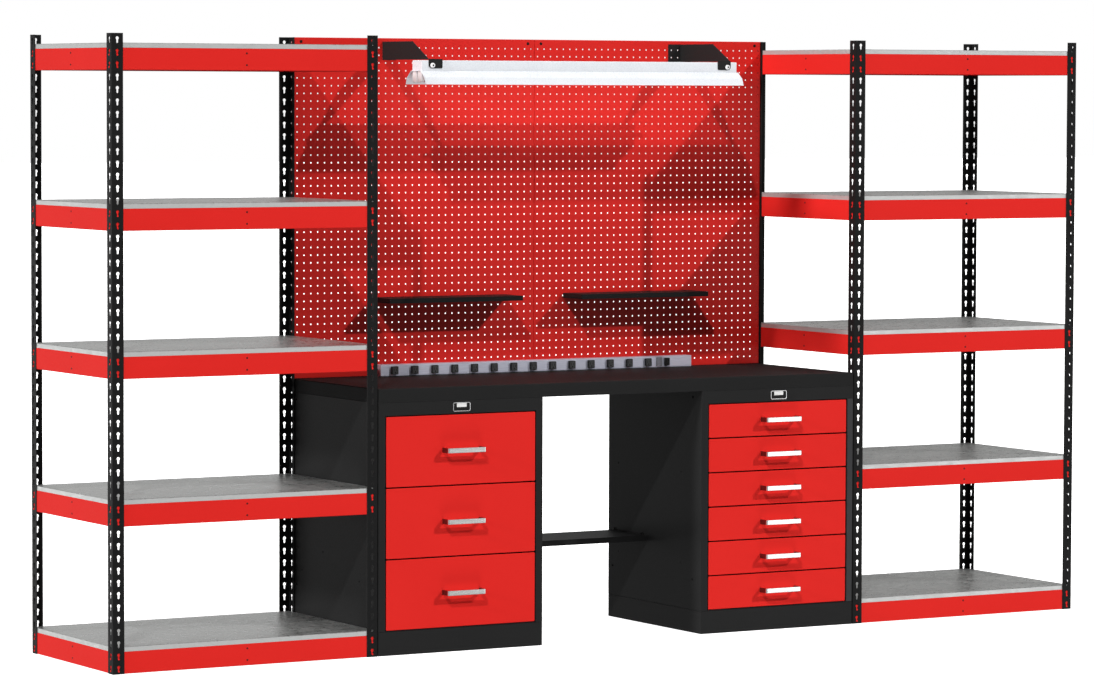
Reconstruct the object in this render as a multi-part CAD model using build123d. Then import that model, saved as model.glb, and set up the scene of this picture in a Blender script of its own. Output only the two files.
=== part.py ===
"""Workbench between two open shelf units: drawer pedestals, peg panels, lamp and power strip.

Millimetres. X runs along the bench, Y from the front to the back, Z up from the floor.
X = 0 is the middle of the bench, and the handles and rear rivets set the middle of the depth.
"""
import os

from build123d import *

# Shelf posts: angle posts with keyholes at one pitch from top to bottom
keyhole_pitch = 38.1
keyhole_count = 52
keyhole_top_depth = 10.5     # top of a keyhole below the top of its pitch
keyhole_end_depth = 32.3     # foot of the slot below the top of its pitch
keyhole_head = 11.1          # width of the round head
keyhole_slot = 6.4           # width of the slot below the head
post_flange = 38.1
post_wall = 2.0
post_bend = 3.0              # outside radius of the angle's bend

# Shelf units
unit_width = 926.0           # over the posts
frame_depth = 621.0          # over the posts
shelf_holes = (2, 15, 27, 39, keyhole_count - 1)   # upper keyhole of each shelf, from the top
beam_height = 69.0
beam_wall = 1.6
beam_flange = 25.0
beam_lip = 14.0
beam_end_gap = 0.5
rivet_clearance = 0.3        # to the sides and foot of the slot
rivet_edge = 8.5             # lower rivet above the beam's lower edge
rivet_head = 1.6             # outside the post
rivet_flare = 0.6            # growth of the rivet's half width per millimetre outwards
deck_height = 15.0
deck_wall = 1.2
deck_gap = 0.5               # deck edge to post
support_height = 60.0
support_flange = 30.0
support_wall = 1.5
support_gap = 1.0            # support to the beam flanges beside it
seat_gap = 0.3               # between pieces that bear on each other with clearance

# Bench
bench_width = 1826.0         # over both pedestals
unit_clearance = 0.4         # pedestal side to the rivet heads of the posts beside it
bench_height = 857.0
top_depth = 44.5
top_wall = 2.5
top_bend = 4.0               # outside radius along the front and back edges
pedestal_width = 607.0
pedestal_setback = 21.0      # back of a pedestal in front of the back of the bench
case_wall = 1.5
base_height = 76.0
base_wall = 2.0
stile_width = 25.5
top_rail = 43.0
frame_return = 18.0          # flange turned in behind the stiles
upright_depth = 40.0
lower_shelf_setback = 341.0  # front edge behind the front of the bench
lower_shelf_depth = 228.6
lower_shelf_top = 302.0
lower_shelf_lip = 19.0
lower_shelf_wall = 1.5
lower_tab_width = 20.0
lower_tab_rise = 9.0         # fixing tab above the shelf
lower_tab_front = 40.0       # middle of the front tab from the front edge
lower_tab_back = 11.0        # middle of the back tab from the back edge

# Drawers
drawer_counts = {"left": 3, "right": 6}
drawer_gap = 2.5             # round each drawer front
drawer_wall = 1.2
front_depth = 18.0
front_corner = 3.0           # corners cut off the front
box_margin = 12.0            # box below the top and above the foot of its front
box_back_gap = 60.5          # free space behind the drawer box in the case
slide_space = 12.7           # between upright and drawer side
slide_height = 45.0
slide_end_gap = 19.0         # free space behind the slide in the case
slide_wall = 1.5
slide_flange = 9.5
slide_clearance = 0.4
handle_length = 140.0
handle_height = 16.0
handle_projection = 40.0
handle_thickness = 4.0
handle_bend = 5.0            # outside radius of the bar's bends

# Label plates on the top rails
plate_width = 64.0
plate_height = 30.0
plate_thickness = 2.4
plate_rim = 3.0
plate_recess = 1.0
plate_corner = 4.0           # corners cut off the plate

# Peg panels and the shelves on them
panel_depth = 31.0           # panel face to the back of the posts
panel_wall = 1.5
panel_flange = 20.0          # depth of the turned edges
panel_gap = 0.4              # between the two panels
peg_shelf_width = 508.0
peg_shelf_depth = 127.0
peg_shelf_lip = 16.3
peg_shelf_wall = 1.5
peg_shelf_offset = 368.3     # middle of a shelf from the middle of the bench
peg_shelf_rise = 263.0       # shelf top above the bench top
screw_radius = 5.0
screw_head = 2.5
screw_inset = 25.4           # from the side edges of a panel
screw_drop = 14.0            # below the top of a panel

# Lamp and its brackets
bracket_inset = 25.6         # web of a bracket from the end of the lamp's channel
bracket_drop = 12.0          # top of a bracket below the top of the posts
bracket_height = 60.3
bracket_reach = 321.0        # along the lower edge
bracket_top_reach = 207.5
bracket_wall = 2.0
bracket_flange = 50.8
tab_width = 51.0
tab_drop = 30.5              # lower edge of the tab below the bracket
lamp_gap = 2.5               # bracket above the lamp's channel
channel_length = 1219.2
channel_height = 34.3
channel_depth = 64.0
channel_wall = 1.0
reflector_end = 5.0              # reflector beyond the channel's end
reflector_clearance = 1.5        # flat roof beyond the lampholders
reflector_shoulder_out = 27.0    # shoulder beyond the flat roof
reflector_shoulder_drop = 21.0
reflector_rim_out = 37.0         # rim beyond the flat roof
reflector_rim_drop = 44.0
reflector_wall = 0.8
tube_radius = 13.0
tube_spacing = 34.0
tube_drop = 24.0             # tube axis below the reflector's roof
socket_width = 27.0
socket_depth = 12.0
socket_bevel = 7.0
bolt_radius = 8.5
bolt_head = 7.0
bolt_inset = 13.5            # bolt from the outer edge of its tab
bolt_rise = 9.5              # bolt above the lower edge of its tab

# Power strip
strip_length = 1219.0
strip_height = 38.5
strip_depth = 38.0
strip_edge = 3.0             # radius along its front edges
outlet_pitch = 76.2
outlet_inset = 50.7          # first outlet from the left end
outlet_end = 90.0            # least space from the last outlet to the right end
outlet_size = 28.0
outlet_depth = 18.0
outlet_proud = 9.0
outlet_clearance = 0.2

# Places that follow from the sizes above
post_height = keyhole_count * keyhole_pitch
front = (handle_projection - frame_depth - rivet_head) / 2
rear = front + frame_depth
rivet_half = keyhole_slot / 2 - rivet_clearance
unit_middle = bench_width / 2 + unit_clearance + rivet_head + unit_width / 2
pedestal_middle = (bench_width - pedestal_width) / 2
pedestal_depth = frame_depth - pedestal_setback
case_top = bench_height - top_depth
panel_face = rear - panel_depth
opening_width = pedestal_width - 2 * stile_width
opening_foot = base_height + case_wall
opening_height = case_top - top_rail - opening_foot
box_width = opening_width - 2 * slide_space
box_depth = pedestal_depth - case_wall - front_depth - box_back_gap
slide_front = case_wall + frame_return
slide_length = pedestal_depth - case_wall - slide_front - slide_end_gap
bracket_foot = post_height - bracket_drop - bracket_height
lamp_front = panel_face - bracket_reach + bracket_wall
lamp_middle = lamp_front + channel_depth / 2
bracket_offset = channel_length / 2 - bracket_inset
channel_top = bracket_foot - lamp_gap
roof = channel_top - channel_height

ON_FLOOR = (Align.CENTER, Align.CENTER, Align.MIN)
FROM_FRONT = (Align.CENTER, Align.MIN, Align.MIN)
MID_FRONT = (Align.CENTER, Align.MIN, Align.CENTER)


def save(node, *pieces):
    """Write the solids of one node."""
    solids = [solid for piece in pieces for solid in piece.solids()]
    export_step(Compound(children=solids), f"parts/{node}.step")


def sheet_pan(block, wall, axis, side):
    """Sheet-metal pan: the block hollowed to its wall and open on one side."""
    return offset(block, amount=-wall, openings=block.faces().sort_by(axis)[side])


def channel(length, height, flange, lip, wall):
    """Channel along X: web on the plane Y = 0, upper flange and lower lip towards +Y."""
    section = Polyline(
        (0, 0),
        (lip, 0),
        (lip, wall),
        (wall, wall),
        (wall, height - wall),
        (flange, height - wall),
        (flange, height),
        (0, height),
        close=True,
    )
    return extrude(Plane.YZ * make_face(section), amount=length / 2, both=True)


def slot_foot(hole):
    """Height of the foot of a keyhole, numbered from the top of the post."""
    return post_height - (hole - 1) * keyhole_pitch - keyhole_end_depth


def beam_foot(hole):
    """Height of the lower edge of a beam whose upper rivets sit in that keyhole."""
    return slot_foot(hole + 1) + rivet_clearance + rivet_half - rivet_edge


def keyhole():
    """Keyhole outline about the middle of the foot of its slot."""
    length = keyhole_end_depth - keyhole_top_depth
    head_middle = length - keyhole_head / 2
    outline = Polyline(
        (-keyhole_slot / 2, 0),
        (keyhole_slot / 2, 0),
        (keyhole_head / 2, head_middle),
        (keyhole_head / 4, length),
        (-keyhole_head / 4, length),
        (-keyhole_head / 2, head_middle),
        close=True,
    )
    return make_face(outline)


def post():
    """Angle post with its corner at X = Y = 0, and a keyhole for each rivet that it carries."""
    section = make_face(
        Polyline(
            (0, 0),
            (post_flange, 0),
            (post_flange, post_wall),
            (post_wall, post_wall),
            (post_wall, post_flange),
            (0, post_flange),
            close=True,
        )
    )
    section = fillet(section.vertices().sort_by_distance((0, 0))[0], post_bend)
    angle = extrude(section, amount=post_height)
    cutters = []
    for shelf_hole in shelf_holes:
        for hole in (shelf_hole, shelf_hole + 1):
            foot = slot_foot(hole)
            front_hole = Plane.XZ * Pos(post_flange / 2, foot) * keyhole()
            side_hole = Plane.YZ * Pos(post_flange / 2, foot) * keyhole()
            cutters.append(extrude(front_hole, amount=-post_wall))
            cutters.append(extrude(side_hole, amount=post_wall))
    return angle - cutters


def rivet():
    """Flared rivet through the post, with four flats: root on the plane Y = 0, head towards -Y."""
    reach = post_wall + rivet_head
    head = rivet_half + rivet_head * rivet_flare
    root = rivet_half - post_wall * rivet_flare
    inset = head - root
    flared = Wedge(2 * head, reach, 2 * head, inset, inset, 2 * head - inset, 2 * head - inset)
    return Pos(0, -reach / 2, 0) * flared


def riveted(beam, half_spacing):
    """The beam with two rivets near each end."""
    for x in (-half_spacing, half_spacing):
        for z in (rivet_edge, rivet_edge + keyhole_pitch):
            beam += Pos(x, 0, z) * rivet()
    return beam


def long_beam():
    """Front beam: its flanges stop short of the side beams."""
    length = unit_width - 2 * (post_wall + beam_end_gap)
    beam = channel(length, beam_height, beam_flange, beam_lip, beam_wall)
    cope = Box(beam_flange + beam_end_gap, beam_flange, beam_height, align=(Align.MIN, Align.MIN, Align.MIN))
    cope_left = Pos(-length / 2, beam_wall, 0) * cope
    beam -= [cope_left, mirror(cope_left, about=Plane.YZ)]
    return riveted(beam, (unit_width - post_flange) / 2)


def side_beam():
    """Side beam between the webs of the front and rear beams."""
    length = frame_depth - 2 * (post_wall + beam_wall + beam_end_gap)
    beam = channel(length, beam_height, beam_flange, beam_lip, beam_wall)
    return riveted(beam, (frame_depth - post_flange) / 2)


def deck():
    """Steel deck that stands on the beams inside the posts."""
    inset = post_wall + deck_gap
    block = Box(unit_width - 2 * inset, frame_depth - 2 * inset, deck_height, align=ON_FLOOR)
    return sheet_pan(block, deck_wall, Axis.Z, 0)


def deck_support():
    """Channel under the middle of a deck, with tongues that reach the beam webs; deck at its top."""
    span = frame_depth - 2 * (post_wall + beam_flange + support_gap)
    body = channel(span, support_height, support_flange, support_flange, support_wall)
    below_beam_top = support_height - (deck_height - deck_wall)
    tongue_top = below_beam_top - beam_wall - support_gap
    tongue_length = frame_depth - 2 * (post_wall + beam_wall + seat_gap)
    tongue_box = Box(tongue_length, support_wall, tongue_top - support_wall, align=FROM_FRONT)
    support = body + Pos(0, 0, support_wall) * tongue_box
    return Pos(support_flange / 2, 0, 0) * Rot(0, 0, 90) * support


def build_shelf_unit(side, sign):
    """One shelf unit: posts, beams, decks and the supports under the decks."""
    depth_middle = (front + rear) / 2
    corner = Pos(-unit_width / 2, -frame_depth / 2, 0) * post()
    left_pair = [corner, mirror(corner, about=Plane.XZ)]
    posts = left_pair + [mirror(each, about=Plane.YZ) for each in left_pair]
    front_beam = Pos(0, post_wall - frame_depth / 2, 0) * long_beam()
    rear_beam = mirror(front_beam, about=Plane.XZ)
    left_beam = Pos(post_wall - unit_width / 2, 0, 0) * Rot(0, 0, -90) * side_beam()
    right_beam = mirror(left_beam, about=Plane.YZ)
    flat_deck = deck()
    support = deck_support()
    place = Pos(sign * unit_middle, depth_middle, 0)
    feet = [beam_foot(hole) for hole in shelf_holes]
    support_foot = beam_height + deck_height - deck_wall - support_height
    levels = [place * Pos(0, 0, foot) for foot in feet]
    save(f"{side}_shelf_posts", *[place * each for each in posts])
    save(f"{side}_shelf_long_beams", *[at * each for at in levels for each in (front_beam, rear_beam)])
    save(f"{side}_shelf_side_beams", *[at * each for at in levels for each in (left_beam, right_beam)])
    save(f"{side}_shelf_decks", *[at * Pos(0, 0, beam_height) * flat_deck for at in levels])
    return [at * Pos(0, 0, support_foot) * support for at in levels]


def pedestal_case():
    """Pedestal shell with its front frame, foot on Z = 0 and front on Y = 0."""
    height = case_top - base_height
    block = Box(pedestal_width, pedestal_depth, height, align=FROM_FRONT)
    shell = sheet_pan(block, case_wall, Axis.Y, 0)
    opening = Pos(0, case_wall + opening_height / 2) * Rectangle(opening_width, opening_height)
    face = Pos(0, height / 2) * Rectangle(pedestal_width, height)
    frame = extrude(Plane.XZ * (face - opening), amount=-case_wall)
    turned = Pos(0, (opening_height + case_wall) / 2 + case_wall) * Rectangle(
        opening_width + 2 * case_wall, opening_height + case_wall
    )
    flange = extrude(Plane.XZ * (turned - opening), amount=-frame_return)
    return shell + frame + flange


def upright():
    """Channel upright on the left wall of a case: web towards the drawers, height from Z = 0."""
    width = stile_width - case_wall
    section = Polyline(
        (0, 0),
        (width, 0),
        (width, upright_depth),
        (0, upright_depth),
        (0, upright_depth - case_wall),
        (width - case_wall, upright_depth - case_wall),
        (width - case_wall, case_wall),
        (0, case_wall),
        close=True,
    )
    return extrude(make_face(section), amount=case_top - base_height - 2 * case_wall)


def case_slide():
    """Fixed slide member on the left uprights, web on X = 0, middle of its height on Z = 0."""
    rail = channel(slide_length, slide_height, slide_flange, slide_flange, slide_wall)
    return Pos(0, slide_length / 2, -slide_height / 2) * Rot(0, 0, -90) * rail


def drawer_runner():
    """Sliding member on the left side of a drawer box, web on X = 0, flanges towards -X."""
    height = slide_height - 2 * (slide_wall + slide_clearance)
    reach = slide_space - slide_wall - slide_clearance
    rail = channel(box_depth, height, reach, reach, slide_wall)
    return Pos(0, box_depth / 2, -height / 2) * Rot(0, 0, 90) * rail


def both_sides(left_piece):
    """A piece and its mirror image across the middle of its pedestal."""
    return [left_piece, mirror(left_piece, about=Plane.YZ)]


def drawer_front(height):
    """Drawer front: a shallow pan with its face on Y = 0 and its foot on Z = 0."""
    block = Box(opening_width - 2 * drawer_gap, front_depth, height, align=FROM_FRONT)
    block = chamfer(block.edges().filter_by(Axis.Y), front_corner)
    hollow = Box(
        opening_width - 2 * (drawer_gap + front_corner),
        front_depth - drawer_wall,
        height - 2 * front_corner,
        align=FROM_FRONT,
    )
    return block - Pos(0, drawer_wall, front_corner) * hollow


def drawer_box(height):
    """Open drawer box with its front on Y = 0 and its floor on Z = 0."""
    block = Box(box_width, box_depth, height, align=FROM_FRONT)
    return sheet_pan(block, drawer_wall, Axis.Z, -1)


def handle():
    """Bar pull bent to a U, feet on Y = 0, bar towards -Y, about the middle of its height."""
    half = handle_length / 2
    inner = half - handle_thickness
    bar = handle_projection - handle_thickness
    outline = make_face(
        Polyline(
            (-half, 0),
            (-half, -handle_projection),
            (half, -handle_projection),
            (half, 0),
            (inner, 0),
            (inner, -bar),
            (-inner, -bar),
            (-inner, 0),
            close=True,
        )
    )
    rows = outline.vertices().group_by(Axis.Y)
    outline = fillet(rows[0], handle_bend)
    inner_corners = [v for v in outline.vertices() if abs(v.X) < inner + 0.01 and abs(v.Y + bar) < 0.01]
    outline = fillet(inner_corners, handle_bend - handle_thickness)
    return extrude(outline, amount=handle_height / 2, both=True)


def build_pedestal(side, sign):
    """One pedestal: base, case, uprights, slides and its drawers."""
    place = Pos(sign * pedestal_middle, front, 0)
    base = Box(pedestal_width, pedestal_depth, base_height, align=FROM_FRONT)
    save(f"{side}_pedestal_base", place * sheet_pan(base, base_wall, Axis.Z, -1))
    save(f"{side}_pedestal_case", place * Pos(0, 0, base_height) * pedestal_case())

    front_upright = Pos(case_wall - pedestal_width / 2, slide_front, opening_foot) * upright()
    rear_shift = pedestal_depth - case_wall - slide_front - upright_depth
    rear_upright = Pos(0, rear_shift, 0) * front_upright
    uprights = both_sides(front_upright) + both_sides(rear_upright)
    save(f"{side}_pedestal_uprights", *[place * each for each in uprights])

    count = drawer_counts[side]
    pitch = (opening_height - drawer_gap) / count
    front_height = pitch - drawer_gap
    box_height = front_height - 2 * box_margin
    rail = Pos(-opening_width / 2, slide_front, 0) * case_slide()
    runner = Pos(-box_width / 2, front_depth, 0) * drawer_runner()
    rails = []
    for number in range(1, count + 1):
        foot = opening_foot + drawer_gap + (count - number) * pitch
        middle = foot + front_height / 2
        node = f"{side}_drawer_{number}"
        level = place * Pos(0, 0, middle)
        rails += [level * each for each in both_sides(rail)]
        box = Pos(0, front_depth, foot + box_margin) * drawer_box(box_height)
        save(f"{node}_front", place * Pos(0, 0, foot) * drawer_front(front_height))
        save(f"{node}_box", place * box, *[level * each for each in both_sides(runner)])
        save(f"{node}_handle", level * handle())
    save(f"{side}_pedestal_slides", *rails)


def build_bench_top():
    """Bench top: a deep pan, turned down all round, on the two cases."""
    block = Box(bench_width, frame_depth, top_depth, align=FROM_FRONT)
    long_edges = block.edges().filter_by(Axis.X).group_by(Axis.Z)[-1]
    block = fillet(long_edges, top_bend)
    save("bench_top", Pos(0, front, case_top) * sheet_pan(block, top_wall, Axis.Z, 0))


def build_lower_shelf():
    """Shelf between the pedestals, with its edges turned down and two fixing tabs at each end."""
    length = bench_width - 2 * (pedestal_width + seat_gap)
    block = Box(length, lower_shelf_depth, lower_shelf_lip, align=FROM_FRONT)
    shelf = sheet_pan(block, lower_shelf_wall, Axis.Z, 0)
    tab_block = Box(
        lower_shelf_wall,
        lower_tab_width,
        lower_tab_rise + lower_shelf_wall,
        align=(Align.MAX, Align.CENTER, Align.MIN),
    )
    for y in (lower_tab_front, lower_shelf_depth - lower_tab_back):
        for tab in both_sides(Pos(length / 2, y, lower_shelf_lip - lower_shelf_wall) * tab_block):
            shelf += tab
    save("lower_shelf", Pos(0, front + lower_shelf_setback, lower_shelf_top - lower_shelf_lip) * shelf)


def build_peg_panels():
    """Two peg panels on the bench top, the shelves on them and the screws in their top corners."""
    width = (bench_width - panel_gap) / 2
    height = post_height - bench_height
    block = Box(width, panel_flange, height, align=FROM_FRONT)
    panel = Pos(0, panel_face, bench_height) * sheet_pan(block, panel_wall, Axis.Y, -1)
    panel_middle = (bench_width + panel_gap) / 4
    shelf_block = Box(peg_shelf_width, peg_shelf_depth, peg_shelf_lip, align=FROM_FRONT)
    shelf = sheet_pan(shelf_block, peg_shelf_wall, Axis.Z, 0)
    shelf_foot = bench_height + peg_shelf_rise - peg_shelf_lip
    screws = []
    for side, sign in (("left", -1), ("right", 1)):
        save(f"pegboard_{side}", Pos(sign * panel_middle, 0, 0) * panel)
        shelf_place = Pos(sign * peg_shelf_offset, panel_face - peg_shelf_depth, shelf_foot)
        save(f"pegboard_shelf_{side}", shelf_place * shelf)
        for edge in (-1, 1):
            x = sign * panel_middle + edge * (width / 2 - screw_inset)
            seat = Plane((x, panel_face, post_height - screw_drop), z_dir=(0, -1, 0))
            screws.append(extrude(seat * RegularPolygon(screw_radius, 6), amount=screw_head))
    save("pegboard_screws", *screws)


def bracket():
    """Right lamp bracket: web in the plane X = 0, panel flange and lamp tab towards -X."""
    web_outline = Polyline(
        (0, 0),
        (-bracket_reach, 0),
        (-bracket_top_reach, bracket_height),
        (0, bracket_height),
        close=True,
    )
    web = extrude(Plane.YZ * make_face(web_outline), amount=-bracket_wall)
    flange = Box(bracket_flange, bracket_wall, bracket_height, align=(Align.MAX, Align.MAX, Align.MIN))
    tab = Box(tab_width, bracket_wall, tab_drop, align=(Align.MAX, Align.MIN, Align.MAX))
    return web + flange + Pos(0, -bracket_reach, bracket_wall) * tab


def build_lamp():
    """Two-tube lamp on its brackets: channel, open reflector, lampholders, tubes and bolts."""
    right_bracket = Pos(bracket_offset, panel_face, bracket_foot) * bracket()
    save("light_brackets", *both_sides(right_bracket))

    lamp = Pos(0, lamp_middle, roof)
    block = Box(channel_length, channel_depth, channel_height, align=ON_FLOOR)
    save("light_channel", lamp * sheet_pan(block, channel_wall, Axis.Z, 0))

    flat = (tube_spacing + socket_width) / 2 + reflector_clearance
    wing = Polyline(
        (-flat - reflector_rim_out, -reflector_rim_drop),
        (-flat - reflector_shoulder_out, -reflector_shoulder_drop),
        (-flat, 0),
        (flat, 0),
        (flat + reflector_shoulder_out, -reflector_shoulder_drop),
        (flat + reflector_rim_out, -reflector_rim_drop),
    )
    band = make_face(offset(wing, amount=reflector_wall, kind=Kind.INTERSECTION, side=Side.RIGHT))
    reflector_half = channel_length / 2 + reflector_end
    save("light_reflector", lamp * extrude(Plane.YZ * band, amount=reflector_half, both=True))

    tube_half = channel_length / 2 - socket_depth
    socket_height = tube_drop + tube_radius - reflector_wall
    tubes = []
    sockets = []
    for y in (-tube_spacing / 2, tube_spacing / 2):
        section = Plane.YZ * Pos(y, -tube_drop) * Circle(tube_radius)
        tubes.append(extrude(section, amount=tube_half, both=True))
        body = Box(socket_depth, socket_width, socket_height, align=(Align.MIN, Align.CENTER, Align.MAX))
        body = chamfer(body.edges().filter_by(Axis.X).group_by(Axis.Z)[0], socket_bevel)
        sockets += both_sides(Pos(tube_half, y, -reflector_wall) * body)
    save("light_tubes", *[lamp * each for each in tubes])
    save("light_sockets", *[lamp * each for each in sockets])

    bolt_height = bracket_foot + bracket_wall - tab_drop + bolt_rise
    seat = Plane((bracket_offset - bolt_inset, panel_face - bracket_reach, bolt_height), z_dir=(0, -1, 0))
    save("light_bolts", *both_sides(extrude(seat * RegularPolygon(bolt_radius, 6), amount=bolt_head)))


def build_power_strip():
    """Power strip on the bench top against the peg panels, with its outlets let into the front."""
    block = Box(strip_length, strip_depth, strip_height, align=FROM_FRONT)
    front_edges = block.edges().filter_by(Axis.X).group_by(Axis.Y)[0]
    housing = fillet(front_edges, strip_edge)
    pocket_size = outlet_size + 2 * outlet_clearance
    pocket_depth = outlet_depth - outlet_proud
    pockets = []
    outlets = []
    outlet_count = 1 + int((strip_length - outlet_inset - outlet_end) / outlet_pitch)
    for number in range(outlet_count):
        place = Pos(outlet_inset - strip_length / 2 + number * outlet_pitch, 0, strip_height / 2)
        pockets.append(place * Box(pocket_size, pocket_depth, pocket_size, align=MID_FRONT))
        outlet = Box(outlet_size, outlet_depth, outlet_size, align=MID_FRONT)
        outlets.append(place * Pos(0, -outlet_proud, 0) * outlet)
    place = Pos(0, panel_face - strip_depth, bench_height)
    save("power_strip_housing", place * (housing - pockets))
    save("power_strip_outlets", *[place * each for each in outlets])


def build_label_plates():
    """Blank rimmed plates on the top rails of the pedestals."""
    outline = Rectangle(plate_width, plate_height)
    outline = chamfer(outline.vertices(), plate_corner)
    field = Rectangle(plate_width - 2 * plate_rim, plate_height - 2 * plate_rim)
    field = chamfer(field.vertices(), plate_corner - plate_rim / 2)
    plate = extrude(Plane.XZ * outline, amount=plate_thickness)
    plate -= extrude(Plane.XZ.offset(plate_thickness - plate_recess) * field, amount=plate_recess)
    height = case_top - top_rail / 2
    save("label_plates", *[Pos(sign * pedestal_middle, front, height) * plate for sign in (-1, 1)])


os.makedirs("parts", exist_ok=True)
deck_supports = []
for side, sign in (("left", -1), ("right", 1)):
    deck_supports += build_shelf_unit(side, sign)
    build_pedestal(side, sign)
save("deck_supports", *deck_supports)
build_bench_top()
build_lower_shelf()
build_peg_panels()
build_lamp()
build_power_strip()
build_label_plates()
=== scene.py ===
"""Looks of the workbench: fine shapes, finishes, floor, light and camera.

Shapes are written in millimetres and become metres, in the frame of the model.
"""

from math import atan2, copysign, cos, pi, radians, sin, sqrt, tan

import bmesh
import bpy
from mathutils import Matrix, Vector
from mathutils.geometry import tessellate_polygon


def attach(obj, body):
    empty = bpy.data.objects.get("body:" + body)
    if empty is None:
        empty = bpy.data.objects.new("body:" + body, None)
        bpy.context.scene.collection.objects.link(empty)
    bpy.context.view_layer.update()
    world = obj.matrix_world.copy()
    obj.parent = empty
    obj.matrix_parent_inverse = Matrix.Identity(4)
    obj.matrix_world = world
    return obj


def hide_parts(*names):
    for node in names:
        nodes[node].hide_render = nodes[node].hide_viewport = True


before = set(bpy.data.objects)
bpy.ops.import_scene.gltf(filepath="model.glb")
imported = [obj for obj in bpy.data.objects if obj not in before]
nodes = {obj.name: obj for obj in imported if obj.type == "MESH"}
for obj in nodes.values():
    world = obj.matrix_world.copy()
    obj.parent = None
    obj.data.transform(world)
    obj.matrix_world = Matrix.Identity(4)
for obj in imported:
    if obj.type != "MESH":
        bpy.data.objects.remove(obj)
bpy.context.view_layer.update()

MM = 0.001
INCH = 25.4
SIDES = (("left", -1), ("right", 1))

# Sizes of the object in millimetres
PITCH, HOLES = 38.1, 52
POST_HEIGHT = PITCH * HOLES
POST_FLANGE, POST_WALL, POST_BEND = 38.1, 2.0, 3.0
KEYHOLE_HEAD, KEYHOLE_SLOT, KEYHOLE_FOOT, KEYHOLE_RISE = 5.55, 3.2, 5.8, 16.25
FRONT, REAR = -291.3, 329.7
DEPTH, DEPTH_MIDDLE = REAR - FRONT, (FRONT + REAR) / 2
UNIT_MIDDLE, UNIT_HALF = 1378.0, 463.0
BEAM_FEET = (0.5, 457.7, 914.9, 1372.1, 1867.4)
BEAM_HEIGHT, BEAM_WALL, BEAM_FLANGE, BEAM_LIP = 69.0, 1.6, 25.0, 14.0
BEAM_BEND, BEAM_GAP = 2.4, 0.5
RIVET_LEVELS, STUD_LEVELS = (8.5, 8.5 + PITCH), (17.2, 54.0)
DECK_HEIGHT, DECK_WALL, DECK_MARGIN = 15.0, 1.2, 2.5
BENCH_HALF, BENCH_HEIGHT, CASE_TOP = 913.0, 857.0, 812.5
CASE_MIDDLE, CASE_WIDTH, CASE_DEPTH = 609.5, 607.0, 600.0
BASE_HEIGHT = 76.0
SEAM = 0.15
PANEL_FACE = 298.7

# Turned profiles in millimetres: (along the axis, radius)
RIVET = ((0.0, 0), (0.0, 2.9), (2.6, 3.0), (3.1, 2.7), (3.45, 1.5), (3.58, 0))
STUD = ((0, 0), (0, 3.1), (0.3, 3.0), (0.55, 2.0), (0.6, 0))
SHELF_SCREW = ((0, 0), (0, 3.8), (1.4, 3.4), (2.1, 2.2), (2.3, 0))
PANEL_SCREW = ((0, 0), (0, 5.0), (0.8, 5.0), (1.6, 4.3), (2.2, 2.8), (2.45, 0))
WASHER = (
    (0, 0), (0, 7.6), (0.6, 8.3), (2.4, 8.3), (5.2, 7.4),
    (6.6, 5.6), (6.9, 4.4), (6.9, 3.3), (5.6, 3.0), (5.6, 0),
)
BOLT_HEAD = ((5.5, 0), (5.5, 2.9), (6.0, 2.9), (6.4, 2.2), (6.5, 0))
TUBE_CAP = ((0, 0), (0, 13.0), (9.5, 13.0), (12.0, 12.0), (13.0, 10.0), (13.0, 0))


# Shapes

EDGE_STEPS = 3
SHARP_ANGLE = radians(40)
NORMAL_WEIGHT = 90
AXES = {
    "x": lambda u, v, w: (w, u, v),
    "y": lambda u, v, w: (u, w, v),
    "z": lambda u, v, w: (u, v, w),
}


class Form:
    """Points and faces of one piece."""

    def __init__(self):
        self.points = []
        self.faces = []

    def rings(self, rings):
        """Skin over rings of as many points each, capped at both ends."""
        base, count, last = len(self.points), len(rings[0]), len(rings) - 1
        self.points.extend(point for line in rings for point in line)
        for r in range(last):
            a, b = base + r * count, base + (r + 1) * count
            for i in range(count):
                j = (i + 1) % count
                self.faces.append((a + i, a + j, b + j, b + i))
        self.faces.append(tuple(base + i for i in reversed(range(count))))
        self.faces.append(tuple(base + last * count + i for i in range(count)))

    def loop(self, points):
        """Adds points and returns their numbers."""
        base = len(self.points)
        self.points.extend(points)
        return list(range(base, len(self.points)))

    def finder(self, place):
        """Function that gives the number of a sheet's point, and adds the point at first use."""
        index = {}

        def at(*parts):
            key = tuple(round(part, 4) for part in parts)
            if key not in index:
                index[key] = len(self.points)
                self.points.append(place(*parts))
            return index[key]

        return at

    def patch(self, at, side, corners):
        """Face on one side of a sheet."""
        self.faces.append(tuple(at(side, *corner) for corner in corners))

    def wall(self, at, p, q):
        """Face between the two sides of a sheet."""
        self.faces.append((at(0, *p), at(0, *q), at(1, *q), at(1, *p)))

    def walls(self, at, loop):
        """Faces between the two sides of a sheet along a closed line."""
        for p, q in zip(loop, loop[1:] + loop[:1]):
            self.wall(at, p, q)


def rounded(width, height, radius, steps=3):
    """Rounded rectangle about the origin."""
    radius = max(radius, 0.05)
    points = []
    for side, rise, start in ((1, 1, 0), (-1, 1, 90), (-1, -1, 180), (1, -1, 270)):
        for k in range(steps + 1):
            turn = radians(start + 90 * k / steps)
            u = side * (width / 2 - radius) + radius * cos(turn)
            v = rise * (height / 2 - radius) + radius * sin(turn)
            points.append((u, v))
    return points


def ring(axis, middle, size, corner, level, steps=3):
    """Rounded rectangle across an axis, at a level along it."""
    outline = rounded(size[0], size[1], corner, steps)
    return [AXES[axis](middle[0] + u, middle[1] + v, level) for u, v in outline]


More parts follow.
